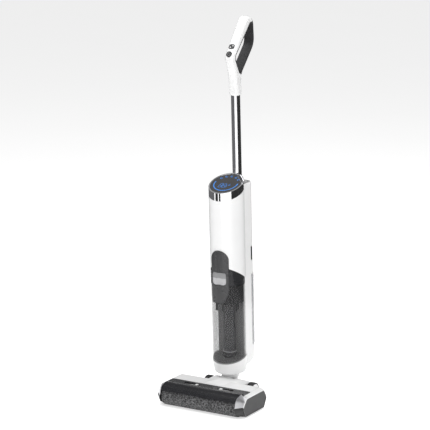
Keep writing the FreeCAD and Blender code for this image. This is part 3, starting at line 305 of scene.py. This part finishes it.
def release_grey():
    """Grey button whose upper half, above its fold, is the darker one."""
    c = bpy.context.scene.scrubber_colours
    made = Finish("Release grey", roughness=0.32)
    drift = made.noise(40.0, 2.0) * 0.15
    # Painted shade: the upper half is a shaded copy of the grey, the lower half a lit copy.
    painted_shade_above_fold = (made.axis(2) > RELEASE_SHADE_FOLD) * 0.85
    made.set("Base Color", made.blend(painted_shade_above_fold + drift, shade(c.release, 1.15), shade(c.release, 0.55)))
    return made.material


def end_shell():
    """White end shell with its foot moulded in the chassis black."""
    c = bpy.context.scene.scrubber_colours
    made = Finish("End shell", roughness=0.25, coat_weight=0.25, coat_roughness=0.08)
    grain = made.noise(900.0, 2.0)
    foot = END_FOOT + (made.noise(30.0, 2.0) - 0.5) * 0.0002
    made.set("Base Color", made.blend(made.axis(2) > foot, tuple(c.chassis), tuple(c.shell)))
    made.bump(grain, 0.2, 0.00004)
    return made.material


def smoked(name, tone, cover):
    """Tinted clear plastic: mostly see-through, a little denser where the moulding drifts."""
    made = Finish(name, ior=1.5, specular_ior_level=0.4)
    drift = made.noise(9.0, 2.0)
    made.set("Base Color", made.blend(drift, shade(tone, 0.9), shade(tone, 1.1)))
    made.set("Alpha", cover + (drift - 0.5) * 0.06)
    made.set("Roughness", 0.08 + made.noise(45.0, 3.0) * 0.05)
    return made.material


def bright(name, tone, roughness, grain):
    """Bright metal with the faintest unevenness in its polish."""
    made = Finish(name, metallic=1.0)
    drift = made.noise(20.0, 2.0)
    made.set("Base Color", made.blend(drift, shade(tone, 0.98), shade(tone, 1.02)))
    made.set("Roughness", roughness + made.noise(grain, 4.0) * roughness * 0.6)
    return made.material


def display_black():
    """Back-printed glass: black under a hard clear coat."""
    made = Finish("Display black", coat_weight=1.0, coat_roughness=0.02)
    drift = made.noise(25.0, 2.0)
    made.set("Base Color", made.blend(drift, (0.02, 0.02, 0.023), (0.03, 0.03, 0.034)))
    made.set("Roughness", 0.10 + made.noise(80.0, 3.0) * 0.05)
    return made.material


def roller_pile():
    """Short pile: dark and light strands mixed at two scales, rough and soft."""
    c = bpy.context.scene.scrubber_colours
    made = Finish("Roller pile", roughness=1.0, sheen_weight=0.05, specular_ior_level=0.1)
    tufts = made.noise(240.0, 2.0, roughness=0.7)
    strands = made.noise(700.0, 2.0, roughness=0.6)
    mix = (tufts * 0.6 + strands * 0.4 - 0.45) * 9.0
    made.set("Base Color", made.blend(mix, tuple(c.pile_dark), tuple(c.pile_light)))
    made.bump(tufts * 0.6 + strands * 0.4, 0.6, 0.0009)
    return made.material


def board_green():
    """Circuit board: green mask with paler pads in a loose grid of cells."""
    made = Finish("Board green", roughness=0.35)
    pads = made.cells(260.0) > 0.42
    made.set("Base Color", made.blend(pads, (0.01, 0.10, 0.04), (0.03, 0.17, 0.07)))
    made.bump(pads, 0.3, 0.0001)
    return made.material


def glow_blue():
    """Lit display mark, brighter in its middle tones than at its edges."""
    c = bpy.context.scene.scrubber_colours
    made = Finish("Display blue", roughness=0.3, emission_strength=1.0)
    flicker = made.noise(300.0, 2.0)
    lit = made.blend(flicker, shade(c.glow, 0.9), shade(c.glow, 1.15))
    made.set("Base Color", lit)
    made.set("Emission Color", lit)
    return made.material


# ---- mesh making -------------------------------------------------------------------------------
def finished(name, body, verts, quads, material, smooth=True):
    """Puts numpy corners and faces into a mesh that rides on a body."""
    mesh = bpy.data.meshes.new(name)
    mesh.from_pydata(np.asarray(verts, dtype=float).tolist(), [], np.asarray(quads).tolist())
    mesh.update()
    mesh.polygons.foreach_set("use_smooth", np.full(len(mesh.polygons), smooth))
    piece = bpy.data.objects.new(name, mesh)
    bpy.context.scene.collection.objects.link(piece)
    mesh.materials.append(material)
    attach(piece, body)
    return piece


def grid_faces(rows, cols, wrap_cols=False, wrap_rows=False):
    """Quads of a rows by cols grid of corners, closed along either way if asked."""
    i = np.arange(rows if wrap_rows else rows - 1)[:, None]
    j = np.arange(cols if wrap_cols else cols - 1)[None, :]
    i2 = (i + 1) % rows
    j2 = (j + 1) % cols
    corners = np.broadcast_arrays(i * cols + j, i * cols + j2, i2 * cols + j2, i2 * cols + j)
    quads = np.stack(corners, axis=-1)
    return quads.reshape(-1, 4)


def paint_nodes():
    """Gives every CAD node the material of its slot."""
    made = finishes()
    by_node = {s["node"]: s["material_slot"] for s in frame["record"]["subparts"]}
    for name, piece in frame["nodes"].items():
        piece.data.materials.clear()
        piece.data.materials.append(made[OWN_FINISH.get(name, by_node[name])])
    return made


def material(name):
    return bpy.data.materials[name]


def roller_sleeve():
    """Fabric sleeve: r(u, v) = R - depth * (1 - tuft(u, v)), with tuft a seeded sum of waves
    that repeats round the roller, and ends closed by rings that step down to the core."""
    sizes = bpy.context.scene.scrubber_sizes
    low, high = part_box("roller_sleeve")
    radius = (high[2] - low[2]) / 2
    core = (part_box("roller_core")[1][2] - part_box("roller_core")[0][2]) / 2
    along = np.linspace(low[0] + 0.5 * MM, high[0] - 0.5 * MM, 420)
    around = np.linspace(0, 2 * np.pi, 200, endpoint=False)
    rng = np.random.default_rng(11)
    tuft = rng.uniform(0.0, 1.0, (len(along), len(around)))
    blurred = (tuft + np.roll(tuft, 1, 0) + np.roll(tuft, 1, 1) + np.roll(tuft, (1, 1), (0, 1))) / 4
    edge = np.minimum(along - low[0], high[0] - along)[:, None]
    shoulder = 1.6 * MM * np.exp(-edge / (1.5 * MM))
    r = radius - sizes.pile_depth * (1 - blurred) - shoulder
    x = np.broadcast_to(along[:, None], r.shape)
    body = np.stack([x, ROLLER[1] + r * np.cos(around), ROLLER[2] + r * np.sin(around)], axis=-1)

    def ring(x_at, r_at):
        return np.stack([np.full(len(around), x_at), ROLLER[1] + r_at * np.cos(around),
                         ROLLER[2] + r_at * np.sin(around)], axis=-1)
    rows = [ring(low[0], core), *body, ring(high[0], core)]
    verts = np.array(rows)
    quads = grid_faces(len(rows), len(around), wrap_cols=True)[:, ::-1]
    inner = np.arange(len(around))
    outer = (len(rows) - 1) * len(around) + inner
    bore = np.stack([inner, outer, np.roll(outer, -1), np.roll(inner, -1)], axis=-1)[:, ::-1]
    piece = finished("roller_pile_sleeve", "roller", verts.reshape(-1, 3),
                     np.vstack([quads, bore]), material("Roller pile"))
    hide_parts("roller_sleeve")


def wheel_tyre(side):
    """Tyre with cross grooves: profile round the section, radius cut where a square wave of the
    angle and the width says there is a groove."""
    node = "wheel_tyre_" + side
    low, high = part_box(node)
    hub_low, hub_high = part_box("wheel_hub_" + side)
    inner_r = (hub_high[2] - hub_low[2]) / 2
    outer_r = (high[2] - low[2]) / 2
    centre = node_mid(node)
    width = high[0] - low[0]
    around = np.linspace(0, 2 * np.pi, 288, endpoint=False)
    across = np.array([-0.5, -0.5, -0.47, -0.38, -0.2, -0.18, 0.18, 0.2, 0.38, 0.47, 0.5, 0.5])
    rise = np.array([0.0, 0.62, 0.9, 1.0, 1.0, 1.0, 1.0, 1.0, 1.0, 0.9, 0.62, 0.0])
    groove = (np.cos(24 * around) > 0.72)[:, None] * np.isin(np.arange(len(across)), [2, 3, 4, 7, 8, 9])
    r = inner_r + (outer_r - inner_r) * rise - groove * 1.1 * MM
    x = centre[0] + width * across
    verts = np.stack([np.broadcast_to(x, r.shape), centre[1] + r * np.cos(around)[:, None],
                      centre[2] + r * np.sin(around)[:, None]], axis=-1)
    quads = grid_faces(len(around), len(across), wrap_cols=True, wrap_rows=True)
    piece = finished("tread_" + side, "wheel_" + side, verts.reshape(-1, 3), quads,
                     material("Black rubber"), smooth=False)
    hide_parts(node)


# ---- display -----------------------------------------------------------------------------------
def on_display(points):
    """Points in the display's own plane (x right, y away from the user, z out), in metres."""
    p = np.asarray(points, dtype=float)
    glass_top = DISPLAY_Z - GLASS_SINK
    y = p[..., 1] * math.cos(TILT) - p[..., 2] * math.sin(TILT)
    z = p[..., 1] * math.sin(TILT) + p[..., 2] * math.cos(TILT) + glass_top
    return upright(np.stack([p[..., 0], y, z], axis=-1))


def stroke(path, width):
    """Flat closed strip along a path in the display's plane, a box section lifted off the glass."""
    lift = bpy.context.scene.scrubber_sizes.mark_lift
    path = np.asarray(path, dtype=float)
    run = np.gradient(path, axis=0)
    run /= np.linalg.norm(run, axis=1, keepdims=True)
    side = np.stack([-run[:, 1], run[:, 0]], axis=1) * width / 2
    low = 0.02 * MM
    corners = ((path + side, low), (path - side, low), (path - side, lift), (path + side, lift))
    ring = [np.column_stack([edge, np.full(len(path), level)]) for edge, level in corners]
    verts = np.stack(ring, axis=1).reshape(-1, 3)
    quads = grid_faces(len(path), 4, wrap_cols=True)
    last = 4 * (len(path) - 1)
    caps = np.array([[3, 2, 1, 0], [last, last + 1, last + 2, last + 3]])
    return verts, np.vstack([quads, caps])


def gather(strokes):
    """One list of corners and faces out of many."""
    verts, quads, count = [], [], 0
    for v, q in strokes:
        verts.append(v)
        quads.append(q + count)
        count += len(v)
    return np.vstack(verts), np.vstack(quads)


def arc_path(centre, radius, start_deg, end_deg, count):
    turn = np.radians(np.linspace(start_deg, end_deg, count))
    return np.stack([centre[0] + radius * np.cos(turn), centre[1] + radius * np.sin(turn)], axis=1)


def digit_eight(x, y, w, h, t):
    """Seven bars of a lit figure eight, each slanted with the figure."""
    slant = 0.14

    def bar(x0, y0, x1, y1):
        return stroke([(x + x0 + slant * y0, y + y0), (x + x1 + slant * y1, y + y1)], t)
    gap = t * 0.62
    half = h / 2
    bars = [bar(gap, level, w - gap, level) for level in (0.0, half, h)]
    for side in (0.0, w):
        bars.append(bar(side, gap, side, half - gap))
        bars.append(bar(side, half + gap, side, h - gap))
    return bars


def display_marks():
    """Ring light, figures, unit and the five small status marks."""
    ring_r = 35.5 * MM
    marks = [stroke(arc_path((0, 0), ring_r, 172, 368, 120), 3.0 * MM)]
    for x in (-16.5, -5.5):
        marks += digit_eight(x * MM, -21.0 * MM, 7.8 * MM, 19.0 * MM, 1.25 * MM)
    marks.append(stroke([(6.2 * MM, -21.0 * MM), (7.8 * MM, -9.0 * MM)], 1.3 * MM))
    marks.append(stroke([(10.2 * MM, -8.6 * MM), (15.2 * MM, -8.6 * MM)], 1.1 * MM))
    marks.append(stroke(arc_path((13.4 * MM, -4.2 * MM), 2.2 * MM, 0, 359, 20), 0.9 * MM))
    for k, turn in enumerate((40.0, 65.0, 90.0, 115.0, 140.0)):
        at = np.array([math.cos(math.radians(turn)), math.sin(math.radians(turn))]) * 36.0 * MM
        marks.append(stroke(arc_path(at, 3.3 * MM, 30 * k, 30 * k + 290, 22), 1.3 * MM))
        marks.append(stroke([at + (-1.2 * MM, 0.0), at + (1.2 * MM, 0.0)], 1.6 * MM))
    verts, quads = gather(marks)
    finished("display_marks", "body", on_display(verts), quads, glow_blue(), smooth=False)


# ---- handle and tank details -------------------------------------------------------------------
def on_button(points, along, lean_deg):
    """Points in a handle button's own plane (x right, y up the handle, z out), in metres."""
    p = np.asarray(points, dtype=float)
    turn = math.radians(lean_deg)
    y = p[..., 1] * math.cos(turn) - p[..., 2] * math.sin(turn) + along
    z = p[..., 1] * math.sin(turn) + p[..., 2] * math.cos(turn)
    slope_cos, slope_sin = math.cos(HANDLE_SLOPE), math.sin(HANDLE_SLOPE)
    y, z = y * slope_cos - z * slope_sin, y * slope_sin + z * slope_cos
    return upright(np.stack([p[..., 0], y + HANDLE_BEND_Y, z + HANDLE_BEND_Z], axis=-1))


def raised_strokes(strokes, height):
    """The strokes of a mark, lifted to a height over the face they are drawn on."""
    verts, quads = gather(strokes)
    verts[:, 2] += height
    return verts, quads


def button_marks():
    """Two dots on the mode button; a ring with a short bar on the power button."""
    pale = moulded("Button mark", (0.72, 0.72, 0.72), 0.4, 900.0, 0.00002)
    dot_mids = ((-3.6, -2.4), (3.4, 2.6))
    dots = [stroke(arc_path((x * MM, y * MM), 1.0 * MM, 0, 359, 18), 1.9 * MM) for x, y in dot_mids]
    verts, quads = raised_strokes(dots, BUTTON_PROUD)
    finished("mode_marks", "mode_key", on_button(verts, 0.034, 0.0), quads, pale, smooth=False)
    ring = stroke(arc_path((0, 0), 4.2 * MM, 130, 410, 40), 1.0 * MM)
    bar = stroke([(0, 1.4 * MM), (0, 5.4 * MM)], 1.0 * MM)
    grey = moulded("Button ring", (0.22, 0.22, 0.22), 0.4, 900.0, 0.00002)
    verts, quads = raised_strokes([ring, bar], BUTTON_PROUD)
    placed = on_button(verts, 0.0095, 8.0)
    finished("power_marks", "power_key", placed, quads, grey, smooth=False)


def tube_lip():
    """Rolled lip round the foot of the inlet tube: a torus, pressed flat where it meets the
    tank's back wall."""
    around = np.linspace(0, 2 * np.pi, 96, endpoint=False)
    section = np.linspace(0, 2 * np.pi, 14, endpoint=False)
    radius, thick = 19.2 * MM, 1.5 * MM
    r = radius + thick * np.cos(section)[None, :]
    z = TUBE_FOOT_Z + thick * np.sin(section)[None, :] + 0.0 * around[:, None]
    x = r * np.cos(around)[:, None]
    y = np.minimum(r * np.sin(around)[:, None], TANK_BACK)
    verts = np.stack([x, y, z], axis=-1)
    quads = grid_faces(len(around), len(section), wrap_cols=True, wrap_rows=True)
    placed = upright(verts).reshape(-1, 3)
    finished("tube_lip", "waste_tank", placed, quads, material("Tube grey"))


# ---- operators ---------------------------------------------------------------------------------
def operator(idname, label, text, make):
    """An Operator class that calls one maker and raises if it can't finish."""

    def execute(self, context):
        make()
        return {"FINISHED"}
    return type("SCRUBBER_OT_" + idname, (bpy.types.Operator,),
                {"bl_idname": "scrubber." + idname, "bl_label": label, "__doc__": text, "execute": execute})


def both_tyres():
    for side in ("left", "right"):
        wheel_tyre(side)


def flag_wall(name, from_deg, to_deg, low, high, tone):
    """A curved upright wall round the object that only mirrors see; its angles run from the side
    that the camera's azimuth names."""
    steps = FLAG_STEPS
    offsets = np.radians(np.linspace(from_deg, to_deg, steps))
    turn = offsets + bpy.context.scene.scrubber_sizes.camera_azimuth
    ring = np.stack([FLAG_REACH * np.sin(turn), -FLAG_REACH * np.cos(turn)], axis=-1)
    points = [(x, y, z) for z in (low, high) for x, y in ring.tolist()]
    faces = [(i, i + 1, steps + i + 1, steps + i) for i in range(steps - 1)]
    mesh = bpy.data.meshes.new(name)
    mesh.from_pydata(points, [], faces)
    matt = Finish(name + " cloth", roughness=1.0, emission_strength=1.0)
    weave = matt.noise(3.0, 2.0)
    matt.set("Base Color", (0.0, 0.0, 0.0))
    matt.set("Emission Color", matt.blend(weave, shade(tone, 0.95), shade(tone, 1.05)))
    mesh.materials.append(matt.material)
    wall = bpy.data.objects.new(name, mesh)
    bpy.context.scene.collection.objects.link(wall)
    wall.visible_camera = False
    wall.visible_diffuse = False
    wall.visible_shadow = False
    wall.visible_transmission = False


def stage():
    """Pale floor, soft lamps, dark side walls for the bright metal to mirror, and the camera."""
    scene = bpy.context.scene
    sizes = scene.scrubber_sizes
    floor_mesh = bpy.data.meshes.new("floor")
    corners = [(-FLOOR_REACH, -FLOOR_REACH, 0), (FLOOR_REACH, -FLOOR_REACH, 0),
               (FLOOR_REACH, FLOOR_REACH, 0), (-FLOOR_REACH, FLOOR_REACH, 0)]
    floor_mesh.from_pydata(corners, [], [(0, 1, 2, 3)])
    floor = bpy.data.objects.new("floor", floor_mesh)
    scene.collection.objects.link(floor)
    pale = Finish("Floor pale", roughness=1.0, specular_ior_level=0.0, emission_strength=0.52)
    drift = pale.noise(2.0, 2.0)
    pale.set("Base Color", pale.blend(drift, (0.90, 0.90, 0.90), (0.92, 0.92, 0.92)))
    pale.set("Emission Color", (1.0, 1.0, 1.0))
    floor_mesh.materials.append(pale.material)
    for flag in FLAGS:
        flag_wall(*flag)
    world = bpy.data.worlds.new("surround")
    world.use_nodes = True
    scene.world = world
    back = world.node_tree.nodes["Background"]
    back.inputs["Color"].default_value = (1.0, 1.0, 1.0, 1.0)
    back.inputs["Strength"].default_value = 0.36
    for name, place, size, power in LAMPS:
        lamp_data = bpy.data.lights.new(name, "AREA")
        lamp_data.size = size
        lamp_data.energy = power
        lamp = bpy.data.objects.new(name, lamp_data)
        lamp.location = place
        aim = -(np.array(place) - np.array(LAMPS_AIM))
        lamp.rotation_euler = facing(aim)
        scene.collection.objects.link(lamp)
    cam_data = bpy.data.cameras.new("camera")
    cam_data.lens = LENS
    cam_data.sensor_width = SENSOR
    cam = bpy.data.objects.new("camera", cam_data)
    az = sizes.camera_azimuth
    el = sizes.camera_elevation
    out = np.array([math.sin(az) * math.cos(el), -math.cos(az) * math.cos(el), math.sin(el)])
    cam.location = AIM_AT + out * sizes.camera_distance
    cam.rotation_euler = facing(-out)
    scene.collection.objects.link(cam)
    scene.camera = cam
    scene.view_settings.view_transform = "Standard"


def facing(direction):
    """The rotation that points a lamp or a camera along a direction."""
    return Vector([float(v) for v in direction]).to_track_quat("-Z", "Y").to_euler()


OPERATORS = [
    operator("paint_nodes", "Finish the CAD parts", "Give every CAD part its material", paint_nodes),
    operator("roller_sleeve", "Roller sleeve", "Make the piled roller sleeve", roller_sleeve),
    operator("tyres", "Tyres", "Make the treaded tyres", both_tyres),
    operator("display_marks", "Display marks", "Make the lit marks of the display", display_marks),
    operator("button_marks", "Button marks", "Make the marks on the handle's buttons", button_marks),
    operator("tube_lip", "Tube lip", "Make the lip at the inlet tube's foot", tube_lip),
    operator("stage", "Stage", "Make the floor, lamps, surround and camera", stage),
]


class SCRUBBER_PT_panel(bpy.types.Panel):
    """Lists the makers in the 3D view's sidebar."""
    bl_idname = "SCRUBBER_PT_panel"
    bl_label = "Floor scrubber"
    bl_space_type = "VIEW_3D"
    bl_region_type = "UI"
    bl_category = "Scrubber"

    def draw(self, context):
        for made in OPERATORS:
            self.layout.operator(made.bl_idname)


CLASSES = [ScrubberColours, ScrubberSizes, *OPERATORS, SCRUBBER_PT_panel]


def register():
    for made in CLASSES:
        bpy.utils.register_class(made)
    bpy.types.Scene.scrubber_colours = PointerProperty(type=ScrubberColours)
    bpy.types.Scene.scrubber_sizes = PointerProperty(type=ScrubberSizes)


def unregister():
    del bpy.types.Scene.scrubber_sizes
    del bpy.types.Scene.scrubber_colours
    for made in reversed(CLASSES):
        bpy.utils.unregister_class(made)


def main():
    register()
    for made in OPERATORS:
        group, call = made.bl_idname.split(".")
        getattr(getattr(bpy.ops, group), call)()


if __name__ == "__main__":
    main()
